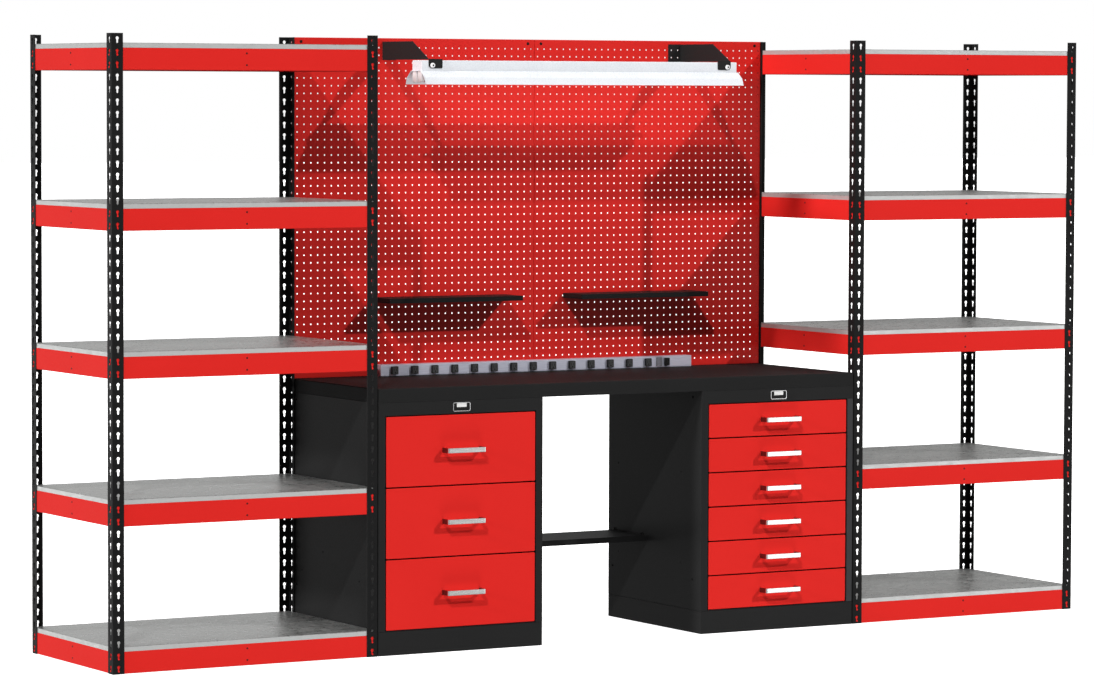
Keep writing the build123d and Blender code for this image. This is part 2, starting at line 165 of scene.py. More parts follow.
def edge_rings(axis, middle, size, corner, level, towards, edge, steps=3):
    """Rings from a flat face round its edge, towards another level."""
    sign = 1 if towards > level else -1
    rings = []
    for k in range(EDGE_STEPS + 1):
        turn = radians(90 * k / EDGE_STEPS)
        inset = edge * (1 - sin(turn))
        depth = edge * (1 - cos(turn))
        inner = (size[0] - 2 * inset, size[1] - 2 * inset)
        rings.append(ring(axis, middle, inner, corner - inset, level + sign * depth, steps))
    return rings


def slab(form, axis, middle, size, low, high, corner, edge, high_edge=None, steps=3):
    """Solid block with rounded edges between two levels along an axis."""
    high_edge = edge if high_edge is None else high_edge
    first = edge_rings(axis, middle, size, corner, low, high, edge, steps)
    second = edge_rings(axis, middle, size, corner, high, low, high_edge, steps)
    form.rings(first + second[::-1])


def pan(form, axis, middle, size, closed, opened, wall, corner, edge, steps=3):
    """Sheet pan: a closed face with rounded edges, and walls that run to the open side."""
    inner = (size[0] - 2 * wall, size[1] - 2 * wall)
    inner_corner, inner_edge = corner - wall, max(edge - wall, 0.2)
    inner_level = closed + copysign(wall, opened - closed)
    rings = edge_rings(axis, middle, size, corner, closed, opened, edge, steps)
    rings.append(ring(axis, middle, size, corner, opened, steps))
    rings.append(ring(axis, middle, inner, inner_corner, opened, steps))
    inside = edge_rings(axis, middle, inner, inner_corner, inner_level, opened, inner_edge, steps)
    form.rings(rings + inside[::-1])


def turned(form, origin, axis, profile, count=14):
    """Body turned about an axis; its profile of (along, radius) starts and ends on the axis."""
    along = Vector(axis).normalized()
    across = along.orthogonal().normalized()
    third = along.cross(across)
    base = len(form.points)
    origin = Vector(origin)
    body = profile[1:-1]
    form.points.append(tuple(origin + along * profile[0][0]))
    for distance, radius in body:
        for k in range(count):
            turn = 2 * pi * k / count
            out = across * cos(turn) + third * sin(turn)
            form.points.append(tuple(origin + along * distance + out * radius))
    form.points.append(tuple(origin + along * profile[-1][0]))
    tip = len(form.points) - 1
    for k in range(count):
        n = (k + 1) % count
        form.faces.append((base, base + 1 + n, base + 1 + k))
        for r in range(len(body) - 1):
            a, b = base + 1 + r * count, base + 1 + (r + 1) * count
            form.faces.append((a + k, a + n, b + n, b + k))
        a = base + 1 + (len(body) - 1) * count
        form.faces.append((a + k, a + n, tip))


def bent(path, wall, bend, side, steps=3):
    """Both lines of a bent sheet; side is 1 if the sheet lies left of the path, else -1."""
    points = [Vector(p) for p in path]
    left = lambda d: Vector((-d.y, d.x))
    first = (points[1] - points[0]).normalized()
    outer, inner = [points[0]], [points[0] + left(first) * side * wall]
    for before, here, after in zip(points, points[1:], points[2:]):
        d1, d2 = (here - before).normalized(), (after - here).normalized()
        turn = atan2(d1.x * d2.y - d1.y * d2.x, d1.dot(d2))
        sign = 1 if turn > 0 else -1
        inside = bend - wall if sign == side else bend + wall
        spoke = left(d1) * sign
        centre = here - d1 * bend * tan(abs(turn) / 2) + spoke * bend
        for k in range(steps + 1):
            c, s = cos(turn * k / steps), sin(turn * k / steps)
            out = Vector((spoke.y * s - spoke.x * c, -spoke.x * s - spoke.y * c))
            outer.append(centre + out * bend)
            inner.append(centre + out * inside)
    last = (points[-1] - points[-2]).normalized()
    outer.append(points[-1])
    inner.append(points[-1] + left(last) * side * wall)
    return outer, inner


def folded(form, lines, stations, place, present=lambda i, k: True):
    """Bent sheet drawn along its stations; cells that are not present are cut away."""
    at = form.finder(lambda side, i, k: place(*lines[side][i], stations[k]))
    rows, columns = len(lines[0]) - 1, len(stations) - 1
    there = lambda i, k: 0 <= i < rows and 0 <= k < columns and present(i, k)
    for i in range(rows):
        for k in range(columns):
            if not there(i, k):
                continue
            cell = ((i, k), (i + 1, k), (i + 1, k + 1), (i, k + 1))
            for side in (0, 1):
                form.patch(at, side, cell)
            borders = (
                (there(i - 1, k), (i, k), (i, k + 1)),
                (there(i + 1, k), (i + 1, k), (i + 1, k + 1)),
                (there(i, k - 1), (i, k), (i + 1, k)),
                (there(i, k + 1), (i, k + 1), (i + 1, k + 1)),
            )
            for goes_on, p, q in borders:
                if not goes_on:
                    form.wall(at, p, q)


def perforated(form, fronts, backs, hole, place):
    """Sheet with holes, open along its border; returns the finder of its points."""
    at = form.finder(place)
    for side, (us, vs) in enumerate((fronts, backs)):
        for i in range(len(us) - 1):
            for j in range(len(vs) - 1):
                cell = [(us[i], vs[j]), (us[i + 1], vs[j]), (us[i + 1], vs[j + 1]), (us[i], vs[j + 1])]
                loop = hole(i, j)
                if not loop:
                    form.patch(at, side, cell)
                    continue
                flat = cell + loop
                lines = [[Vector((u, v, 0)) for u, v in part] for part in (cell, loop)]
                for corners in tessellate_polygon(lines):
                    form.patch(at, side, [flat[c] for c in corners])
                if side == 0:
                    form.walls(at, loop)
    return at


def border(us, vs):
    """Closed line round a grid of points."""
    loop = [(u, vs[0]) for u in us[:-1]] + [(us[-1], v) for v in vs[:-1]]
    return loop + [(u, vs[-1]) for u in us[:0:-1]] + [(us[0], v) for v in vs[:0:-1]]


def circle(u, v, radius, count=12):
    """Points of a circle."""
    turns = [2 * pi * k / count for k in range(count)]
    return [(u + radius * cos(turn), v + radius * sin(turn)) for turn in turns]


def put(name, data):
    """Object of a mesh, a light or a camera, in the scene."""
    made = bpy.data.objects.new(name, data)
    bpy.context.scene.collection.objects.link(made)
    return made


def mesh_of(name, form):
    """Mesh of a form, in metres, with its normals outwards."""
    mesh = bpy.data.meshes.new(name)
    work = bmesh.new()
    corners = [work.verts.new(Vector(p) * MM) for p in form.points]
    for face in form.faces:
        work.faces.new([corners[i] for i in face])
    bmesh.ops.recalc_face_normals(work, faces=work.faces)
    work.to_mesh(mesh)
    work.free()
    soften(mesh)
    return mesh


def soften(mesh):
    """Smooth shading that keeps the edges that turn sharply."""
    mesh.polygons.foreach_set("use_smooth", [True] * len(mesh.polygons))
    mesh.set_sharp_from_angle(angle=SHARP_ANGLE)


def piece(name, form, finish, slot, *stands_for, body="bench", bores=()):
    """Object of a form, with a finish; it rides on a body and may stand for nodes of the model."""
    made = put(name, mesh_of(name, form))
    if bores:
        bore(made, bores)
    normals = made.modifiers.new("normals", "WEIGHTED_NORMAL")
    normals.weight = NORMAL_WEIGHT
    normals.keep_sharp = True
    coat(made, finish)
    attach(made, body)
    if stands_for:
        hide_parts(*stands_for)


def coat(made, finish):
    """Gives an object one finish."""
    made.data.materials.clear()
    made.data.materials.append(finish)


def bore(made, bores):
    """Cuts round holes: each is (middle, axis, radius, length)."""
    form = Form()
    for middle, axis, radius, length in bores:
        half = length / 2
        turned(form, middle, axis, ((-half, 0), (-half, radius), (half, radius), (half, 0)), 16)
    cutter = put("cutter", mesh_of("cutter", form))
    cut = made.modifiers.new("bores", "BOOLEAN")
    cut.operation = "DIFFERENCE"
    cut.solver = "EXACT"
    cut.object = cutter
    bpy.context.view_layer.update()
    done = made.evaluated_get(bpy.context.evaluated_depsgraph_get())
    mesh = bpy.data.meshes.new_from_object(done)
    made.modifiers.clear()
    old = made.data
    made.data = mesh
    bpy.data.meshes.remove(old)
    mesh.name = made.name
    bpy.data.objects.remove(cutter)
    soften(mesh)


# Finishes

WHITE = (1, 1, 1, 1)


def new_finish(name):
    """Material with its node tree and its shader."""
    made = bpy.data.materials.new(name)
    made.use_nodes = True
    return made, made.node_tree, made.node_tree.nodes["Principled BSDF"]


def feed(tree, made, inputs):
    """Gives each named input of a node its value, or links it to an output."""
    for name, value in inputs.items():
        if isinstance(value, bpy.types.NodeSocket):
            tree.links.new(value, made.inputs[name])
        else:
            made.inputs[name].default_value = value


def add(tree, kind, inputs=None, **settings):
    """Shader node of a kind with its settings and inputs; returns its outputs."""
    made = tree.nodes.new("ShaderNode" + kind)
    for name, value in settings.items():
        setattr(made, name, value)
    feed(tree, made, inputs or {})
    return made.outputs


def noise(tree, scale, detail=2.0, stretch=(1, 1, 1), rough=0.5):
    """Noise in the frame of the model, scale per metre; returns its value."""
    where = add(tree, "TexCoord")["Object"]
    place = add(tree, "Mapping", {"Vector": where, "Scale": stretch})["Vector"]
    inputs = {"Vector": place, "Scale": scale, "Detail": detail, "Roughness": rough}
    return add(tree, "TexNoise", inputs)["Fac"]


def spangle(tree, scale):
    """Crystal pattern, scale per metre: one value for each crystal."""
    where = add(tree, "TexCoord")["Object"]
    colour = add(tree, "TexVoronoi", {"Vector": where, "Scale": scale})["Color"]
    return add(tree, "SeparateColor", {"Color": colour})["Red"]


def blend(tree, first, second, share):
    """Mix of two values."""
    return add(tree, "Mix", {"Factor": share, "A": first, "B": second})["Result"]


def size_along(tree, vector, axis):
    """How far a vector reaches along an axis, without its sign."""
    part = add(tree, "SeparateXYZ", {"Vector": vector})[axis]
    return add(tree, "Math", {0: part}, operation="ABSOLUTE")["Value"]


def ramp(tree, value, stops):
    """Two colours along a value: each stop is (place, colour)."""
    made = tree.nodes.new("ShaderNodeValToRGB")
    for point, (place, colour) in zip(made.color_ramp.elements, stops):
        point.position = place
        point.color = (*colour, 1)
    feed(tree, made, {"Fac": value})
    return made.outputs["Color"]


def spread(tree, value, low, high, source_low=0.3, source_high=0.7):
    """Value mapped to another range."""
    ends = {"From Min": source_low, "From Max": source_high, "To Min": low, "To Max": high}
    return add(tree, "MapRange", {"Value": value, **ends})["Result"]


def relief(tree, value, strength, distance):
    """Normal that is bumped by a value."""
    return add(tree, "Bump", {"Height": value, "Strength": strength, "Distance": distance})["Normal"]


def edge_wear_highlight_mask(tree, radius):
    """0 on flat faces and up to 1 along edges that turn sharply, broken up by noise: where edges are
    painted lighter, as wear and as a painted highlight.
    """
    rounded_over = add(tree, "Bevel", {"Radius": radius}, samples=4)["Normal"]
    surface = add(tree, "NewGeometry")["Normal"]
    turn = add(tree, "VectorMath", {0: rounded_over, 1: surface}, operation="DOT_PRODUCT")["Value"]
    edge = spread(tree, turn, 1.0, 0.0, 0.72, 0.96)
    patches = spread(tree, noise(tree, 35.0, detail=3.0), 0.25, 1.0, 0.38, 0.62)
    return add(tree, "Math", {0: edge, 1: patches}, operation="MULTIPLY")["Value"]


def over(tree, mask, below, above):
    """Colour with another one where the mask says so; 6, 7 and 2 are the colour sockets."""
    return add(tree, "Mix", {"Factor": mask, 6: below, 7: (*above, 1)}, data_type="RGBA")[2]


def powder_coat(name, dark, light, edge_wear_highlight, rough, gloss, peel=0.10):
    """Powder coat: cloudy colour, fine speckle and bumps, and lighter edges: a thinner coat there and a
    painted highlight.
    """
    made, tree, shader = new_finish(name)
    tone = blend(tree, noise(tree, 2.3, detail=3.0), noise(tree, 900.0), 0.6)
    colour = ramp(tree, tone, ((0.32, dark), (0.68, light)))
    feed(tree, shader, {
        "Base Color": over(tree, edge_wear_highlight_mask(tree, 0.0016), colour, edge_wear_highlight),
        "Roughness": spread(tree, noise(tree, 160.0, detail=3.0), rough - 0.04, rough + 0.05),
        "Specular IOR Level": gloss,
        "Normal": relief(tree, noise(tree, 520.0), peel, 0.0006),
    })
    return made


def galvanised(name, dark, light, edge_wear_highlight, lip_painted_highlight, rough):
    """Galvanised sheet: crystals, streaks and shallow waves; lips painted plain and lighter as a painted
    highlight, and edges painted lighter as wear and a painted highlight.
    """
    made, tree, shader = new_finish(name)
    crystals = blend(tree, spangle(tree, 60.0), spangle(tree, 170.0), 0.45)
    streaks = noise(tree, 90.0, detail=4.0, stretch=(0.14, 1, 1), rough=0.6)
    waves = noise(tree, 48.0, detail=4.0, stretch=(0.22, 1, 1), rough=0.6)
    tone = blend(tree, crystals, streaks, 0.55)
    upward = size_along(tree, add(tree, "NewGeometry")["Normal"], "Z")
    folded_down = spread(tree, upward, 0.86, 0.0, 0.15, 0.75)
    colour = ramp(tree, tone, ((0.25, dark), (0.75, light)))
    # Faces that turn away from up, the lips, get one plain lighter colour: a painted highlight for the
    # light that falls on them.
    colour = over(tree, folded_down, colour, lip_painted_highlight)
    matt = {0: folded_down, 1: 0.08, 2: spread(tree, tone, rough - 0.13, rough + 0.13)}
    feed(tree, shader, {
        "Base Color": over(tree, edge_wear_highlight_mask(tree, 0.0014), colour, edge_wear_highlight),
        "Roughness": add(tree, "Math", matt, operation="MULTIPLY_ADD")["Value"],
        "Metallic": spread(tree, upward, 0.50, 0.72, 0.15, 0.75),
        "Normal": relief(tree, blend(tree, waves, crystals, 0.15), 0.24, 0.0020),
    })
    return made


def brushed(name, dark, light, edge_wear_highlight, rough, metallic=1.0, depth=0.05):
    """Metal with fine lines along X and lighter edges: polish and a painted highlight."""
    made, tree, shader = new_finish(name)
    lines = noise(tree, 900.0, stretch=(0.03, 1, 1))
    colour = ramp(tree, lines, ((0.3, dark), (0.7, light)))
    feed(tree, shader, {
        "Base Color": over(tree, edge_wear_highlight_mask(tree, 0.0010), colour, edge_wear_highlight),
        "Roughness": spread(tree, lines, rough - 0.06, rough + 0.08),
        "Metallic": metallic,
        "Normal": relief(tree, lines, depth, 0.0002),
    })
    return made


def moulded(name, dark, light, edge_wear_highlight, rough, grain=700.0):
    """Plastic or enamel with a fine grain and lighter edges: rubbing and a painted highlight."""
    made, tree, shader = new_finish(name)
    grains = noise(tree, grain)
    tone = blend(tree, grains, noise(tree, 11.0), 0.5)
    colour = ramp(tree, tone, ((0.3, dark), (0.7, light)))
    feed(tree, shader, {
        "Base Color": over(tree, edge_wear_highlight_mask(tree, 0.0010), colour, edge_wear_highlight),
        "Roughness": spread(tree, grains, rough - 0.04, rough + 0.05),
        "Normal": relief(tree, grains, 0.06, 0.0003),
    })
    return made


def lamp_glass(name):
    """White coated glass that gives light, and dims towards its ends."""
    made, tree, shader = new_finish(name)
    tone = noise(tree, 60.0)
    away = size_along(tree, add(tree, "TexCoord")["Object"], "X")
    feed(tree, shader, {
        "Base Color": ramp(tree, tone, ((0.3, (0.90, 0.91, 0.92)), (0.7, (0.95, 0.96, 0.97)))),
        "Roughness": spread(tree, tone, 0.18, 0.26),
        "Emission Color": ramp(tree, away, ((0.47, (1.0, 0.99, 0.97)), (0.55, (0.02, 0.02, 0.02)))),
        "Emission Strength": 2.4,
    })
    return made


# The third colour of each finish is its lighter edge colour: edge wear and a painted highlight.
BLACK = powder_coat(
    "black_powder_coat", (0.0180, 0.0180, 0.0181), (0.0224, 0.0224, 0.0225), (0.036, 0.036, 0.036),
    rough=0.52, gloss=0.08, peel=0.12,
)
POST_BLACK = powder_coat(
    "black_post_coat", (0.0106, 0.0106, 0.0107), (0.0146, 0.0146, 0.0147), (0.028, 0.028, 0.028),
    rough=0.50, gloss=0.10, peel=0.12,
)
TOP_BLACK = powder_coat(
    "black_top_coat", (0.0170, 0.0170, 0.0171), (0.0213, 0.0213, 0.0214), (0.036, 0.036, 0.036),
    rough=0.62, gloss=0.07, peel=0.12,
)
RED = powder_coat(
    "red_powder_coat", (0.760, 0.0235, 0.0195), (0.840, 0.0285, 0.0235), (0.90, 0.050, 0.042),
    rough=0.50, gloss=0.05,
)
# The same red coat as the fronts, drawn darker on the peg panels: painted shade.
PEG_RED_SHADED = powder_coat(
    "red_coat_painted_shade", (0.645, 0.0210, 0.0174), (0.710, 0.0256, 0.0210), (0.81, 0.050, 0.042),
    rough=0.44, gloss=0.14,
)
# The lip colour is lighter than the tops: a painted highlight on the lips.
DECK = galvanised(
    "galvanised_sheet", (0.29, 0.30, 0.29), (0.77, 0.78, 0.765), (0.80, 0.81, 0.80),
    lip_painted_highlight=(0.73, 0.74, 0.73), rough=0.38,
)
ZINC = brushed("zinc_plating", (0.52, 0.53, 0.55), (0.70, 0.71, 0.72), (0.82, 0.83, 0.84), rough=0.34)
BRIGHT = brushed(
    "bright_plating", (0.90, 0.90, 0.885), (0.95, 0.95, 0.935), (0.97, 0.97, 0.96),
    rough=0.21, depth=0.02,
)
# Darker plating: on the pull legs it is painted shade; the strip's ribs take it too.
DARKER_PLATING = brushed("darker_plating", (0.17, 0.16, 0.16), (0.25, 0.24, 0.24), (0.34, 0.33, 0.33), rough=0.42)
STRIP = brushed(
    "anodised_strip", (0.64, 0.65, 0.78), (0.80, 0.81, 0.93), (0.88, 0.89, 0.95),
    rough=0.42, metallic=0.42,
)
PLATE = brushed("plate_metal", (0.80, 0.80, 0.81), (0.92, 0.92, 0.93), (0.96, 0.96, 0.96), rough=0.26)
STILE_STRIP_GREY = powder_coat(
    "grey_bar_coat", (0.040, 0.041, 0.043), (0.052, 0.053, 0.055), (0.09, 0.09, 0.09),
    rough=0.48, gloss=0.12,
)
ENAMEL = moulded(
    "white_enamel", (0.84, 0.87, 0.92), (0.90, 0.93, 0.965), (0.95, 0.96, 0.97), rough=0.28, grain=260.0
)
WHITE_PLASTIC = moulded(
    "white_plastic", (0.86, 0.86, 0.86), (0.92, 0.92, 0.92), (0.95, 0.95, 0.95), rough=0.34
)
DARK_PLASTIC = moulded(
    "dark_plastic", (0.0070, 0.0070, 0.0072), (0.0110, 0.0110, 0.0115), (0.028, 0.028, 0.029), rough=0.46
)
FIELD_BLACK = moulded(
    "field_black", (0.0022, 0.0022, 0.0023), (0.0036, 0.0036, 0.0037), (0.008, 0.008, 0.008), rough=0.62
)
GREY_PLASTIC = moulded(
    "grey_plastic", (0.042, 0.043, 0.044), (0.062, 0.063, 0.064), (0.09, 0.09, 0.09), rough=0.46
)
CARD = moulded(
    "plain_card", (0.86, 0.86, 0.85), (0.94, 0.94, 0.93), (0.96, 0.96, 0.95), rough=0.75, grain=400.0
)
GLASS = lamp_glass("lamp_glass")


# Shelf units

def keyhole(foot):
    """Outline of a keyhole in the middle of a flange: a round head over a round-ended slot."""
    middle = POST_FLANGE / 2
    head_level, slot_level = foot + KEYHOLE_RISE, foot + KEYHOLE_SLOT
    start = atan2(-sqrt(KEYHOLE_HEAD**2 - KEYHOLE_SLOT**2), KEYHOLE_SLOT)
    head_steps, slot_steps = 10, 6
    points = []
    for k in range(head_steps + 1):
        a = start + (pi - 2 * start) * k / head_steps
        points.append((middle + KEYHOLE_HEAD * cos(a), head_level + KEYHOLE_HEAD * sin(a)))
    for k in range(slot_steps + 1):
        a = pi * (1 + k / slot_steps)
        points.append((middle + KEYHOLE_SLOT * cos(a), slot_level + KEYHOLE_SLOT * sin(a)))
    return points


def post(form, x, y, sx, sy):
    """Angle post with its corner at (x, y), flanges towards sx and sy, and rows of keyholes."""
    us = [POST_BEND, POST_FLANGE]
    vs = [PITCH * k for k in range(HOLES + 1)]
    hole = lambda i, j: keyhole(vs[j] + KEYHOLE_FOOT)
    lines = (us, vs)
    wall = lambda side: side * POST_WALL
    along_place = lambda side, u, v: (x + sx * u, y + sy * wall(side), v)
    across_place = lambda side, u, v: (x + sx * wall(side), y + sy * u, v)
    along = perforated(form, lines, lines, hole, along_place)
    across = perforated(form, lines, lines, hole, across_place)
    steps = 4

    def curve(side, k, v):
        a = radians(270 - 90 * k / steps)
        radius = POST_BEND - wall(side)
        u, w = POST_BEND + radius * cos(a), POST_BEND + radius * sin(a)
        return x + sx * u, y + sy * w, v

    between = form.finder(curve)

    def bend_at(side, k, v):
        if 0 < k < steps:
            return between(side, k, v)
        return (across if k else along)(side, POST_BEND, v)

    for low, high in zip(vs, vs[1:]):
        for side in (0, 1):
            for k in range(steps):
                form.patch(bend_at, side, ((k, low), (k + 1, low), (k + 1, high), (k, high)))
        for at in (along, across):
            form.wall(at, (POST_FLANGE, low), (POST_FLANGE, high))
    for v in (vs[0], vs[-1]):
        for at in (along, across):
            form.wall(at, (us[0], v), (us[1], v))
        for k in range(steps):
            form.wall(bend_at, (k, v), (k + 1, v))


def beam(form, place, half, cope):
    """Channel beam with bent edges; over a cope at its ends only the web runs on."""
    path = ((BEAM_LIP, 0), (0, 0), (0, BEAM_HEIGHT), (BEAM_FLANGE, BEAM_HEIGHT))
    lines = bent(path, BEAM_WALL, BEAM_BEND, -1)
    # Row of the sheet between its two bends
    web = 4
    if cope:
        stations = (-half, -half + cope, half - cope, half)
        folded(form, lines, stations, place, lambda i, k: k == 1 or i == web)
    else:
        folded(form, lines, (-half, half), place)


def shelf_unit(side, sign):
    """Posts, beams, rivets, studs and decks of one unit."""
    middle = sign * UNIT_MIDDLE
    posts = Form()
    for sx in (-1, 1):
        for sy in (-1, 1):
            post(posts, middle + sx * UNIT_HALF, DEPTH_MIDDLE + sy * DEPTH / 2, -sx, -sy)
    piece(f"{side}_posts", posts, POST_BLACK, "black_paint", f"{side}_shelf_posts")

    long_beams, side_beams, rivets, studs, decks = Form(), Form(), Form(), Form(), Form()
    half_long = UNIT_HALF - POST_WALL - BEAM_GAP
    half_side = DEPTH / 2 - POST_WALL - BEAM_WALL - BEAM_GAP
    deck_size = (2 * (UNIT_HALF - DECK_MARGIN), DEPTH - 2 * DECK_MARGIN)

    def fasten(place, half, outward):
        """Studs at the middle of a beam, and rivets in the posts at its ends."""
        reach = half - POST_FLANGE / 2
        for level in STUD_LEVELS:
            turned(studs, place(0, level, 0), outward, STUD, 12)
        for end in (-1, 1):
            for level in RIVET_LEVELS:
                turned(rivets, place(0, level, end * reach), outward, RIVET, 12)

    for foot in BEAM_FEET:
        for face, inward in ((FRONT + POST_WALL, 1), (REAR - POST_WALL, -1)):
            place = lambda d, z, s: (middle + s, face + inward * d, foot + z)
            beam(long_beams, place, half_long, BEAM_FLANGE + BEAM_GAP)
            fasten(place, UNIT_HALF, (0, -inward, 0))
        for end in (-1, 1):
            face = middle + end * (UNIT_HALF - POST_WALL)
            place = lambda d, z, s: (face - end * d, DEPTH_MIDDLE + s, foot + z)
            beam(side_beams, place, half_side, 0)
            fasten(place, DEPTH / 2, (end, 0, 0))
        under = foot + BEAM_HEIGHT
        pan(
            decks, "z", (middle, DEPTH_MIDDLE), deck_size, under + DECK_HEIGHT, under,
            wall=DECK_WALL, corner=2.5, edge=2.2,
        )
    piece(f"{side}_long_beams", long_beams, RED, "red_paint", f"{side}_shelf_long_beams")
    piece(f"{side}_side_beams", side_beams, RED, "red_paint", f"{side}_shelf_side_beams")
    piece(f"{side}_rivets", rivets, RED, "red_paint")
    piece(f"{side}_studs", studs, POST_BLACK, "black_paint")
    piece(f"{side}_decks", decks, DECK, "galvanised_steel", f"{side}_shelf_decks")


for side, sign in SIDES:
    shelf_unit(side, sign)


# Pedestals and drawers

STILE, TOP_RAIL, CASE_WALL, CASE_FLANGE = 25.5, 43.0, 1.5, 18.0
CASE_CORNER, CASE_BACK_EDGE, CASE_FRONT_EDGE = 2.0, 1.5, 1.6
SILL_STEP, SILL_LAP = 1.0, 0.5
OPENING_WIDTH = CASE_WIDTH - 2 * STILE
OPENING_FOOT = BASE_HEIGHT + CASE_WALL
OPENING_HEIGHT = CASE_TOP - TOP_RAIL - OPENING_FOOT
# Rings that turn the front frame into its opening: (growth, corner, depth)
OPENING_EDGE = ((1.2, 1.6, 0.0), (0.3, 1.2, 0.2), (0.0, 1.0, 0.7), (0.0, 1.0, CASE_FLANGE))
# Holes in the sides of the cases: (radius, places from front to back, heights)
CASE_HOLES = (
    (4.2, (-234.5, 280.0), (178.0, 790.0)),
    (2.6, (-161.5, 241.5), (229.0, 534.0)),
    (3.6, (91.5, 271.0), (301.0,)),
)
BORE_LENGTH = 5.0
DRAWERS = {"left": 3, "right": 6}
DRAWER_GAP, SLIDE_SPACE = 2.5, 12.7
FACE_WALL, FACE_TRIM, BACK_TRIM, BACK_GAP = 2.6, (1.6, 1.7), 1.0, 0.05
FRONT_DEPTH, BOX_DEPTH, BOX_MARGIN, BOX_GAP = 18.0, 520.0, 12.0, 0.1
BOX_WIDTH = OPENING_WIDTH - 2 * SLIDE_SPACE
PULL_HALF, PULL_REACH, PULL_BEND, PULL_BAR = 68.0, 38.0, 3.0, (4.0, 16.0)
RUNNER_HEIGHT, RUNNER_REACH, RUNNER_WALL, RUNNER_BEND = 41.2, 10.8, 1.5, 2.0


def pedestal(side, sign):
    """Case and base of one pedestal, and the finishes of the uprights and slides in it."""
    middle = sign * CASE_MIDDLE
    back = FRONT + CASE_DEPTH
    outer = (CASE_WIDTH, CASE_TOP - BASE_HEIGHT)
    outer_middle = (middle, (CASE_TOP + BASE_HEIGHT) / 2)
    inner = (outer[0] - 2 * CASE_WALL, outer[1] - 2 * CASE_WALL)
    sill = OPENING_FOOT + SILL_STEP
    opening = (OPENING_WIDTH, OPENING_HEIGHT - SILL_STEP)
    opening_middle = (middle, sill + opening[1] / 2)
    turned_in = (opening[0] + 2 * CASE_WALL, opening[1] + CASE_WALL + SILL_LAP)
    turned_middle = (middle, sill - SILL_LAP + turned_in[1] / 2)
    shell = ("y", outer_middle, outer, CASE_CORNER)
    rings = edge_rings(*shell, back, FRONT, CASE_BACK_EDGE)
    rings += edge_rings(*shell, FRONT, back, CASE_FRONT_EDGE)[::-1]
    for growth, corner, depth in OPENING_EDGE:
        size = (opening[0] + growth, opening[1] + growth)
        rings.append(ring("y", opening_middle, size, corner, FRONT + depth))
    for depth in (CASE_FLANGE, CASE_WALL):
        rings.append(ring("y", turned_middle, turned_in, 1.0, FRONT + depth))
    for level in (FRONT + CASE_WALL, back - CASE_WALL):
        rings.append(ring("y", outer_middle, inner, 0.6, level))
    case = Form()
    case.rings(rings)
    bores = [
        ((middle + end * CASE_WIDTH / 2, y, z), (1, 0, 0), radius, BORE_LENGTH)
        for end in (-1, 1)
        for radius, ys, zs in CASE_HOLES
        for y in ys
        for z in zs
    ]
    piece(f"{side}_case", case, BLACK, "black_paint", f"{side}_pedestal_case", bores=bores)

    base = Form()
    base_middle, base_size = (middle, FRONT + CASE_DEPTH / 2), (CASE_WIDTH, CASE_DEPTH)
    pan(base, "z", base_middle, base_size, 0.0, BASE_HEIGHT - SEAM, wall=2.0, corner=2.5, edge=1.2)
    piece(f"{side}_base", base, BLACK, "black_paint", f"{side}_pedestal_base")
    coat(nodes[f"{side}_pedestal_uprights"], BLACK)
    coat(nodes[f"{side}_pedestal_slides"], ZINC)


def bar_pull(bar, legs, x, z):
    """Flat bar bent to a U with soft edges; its legs are a shape of their own."""
    path = ((-PULL_HALF, 0), (-PULL_HALF, -PULL_REACH), (PULL_HALF, -PULL_REACH), (PULL_HALF, 0))
    centre = bent(path, 0.0, PULL_BEND, 1, 6)[0]
    section = rounded(*PULL_BAR, 1.2)

    def swept(line):
        rings = []
        for k, here in enumerate(line):
            before, after = line[max(k - 1, 0)], line[min(k + 1, len(line) - 1)]
            along = (after - before).normalized()
            out = Vector((-along.y, along.x))
            across = [(here + out * a, b) for a, b in section]
            rings.append([(x + p.x, FRONT + p.y, z + b) for p, b in across])
        return rings

    bar.rings(swept(centre[1:-1]))
    legs.rings(swept(centre[:2]))
    legs.rings(swept(centre[-2:]))


def runner(form, x, inward, z, start, length):
    """Sliding member: a channel with its web on the box and its flanges outwards."""
    half = RUNNER_HEIGHT / 2
    path = ((RUNNER_REACH, -half), (0, -half), (0, half), (RUNNER_REACH, half))
    lines = bent(path, RUNNER_WALL, RUNNER_BEND, -1)
    folded(form, lines, (start, start + length), lambda d, v, s: (x - inward * d, s, z + v))


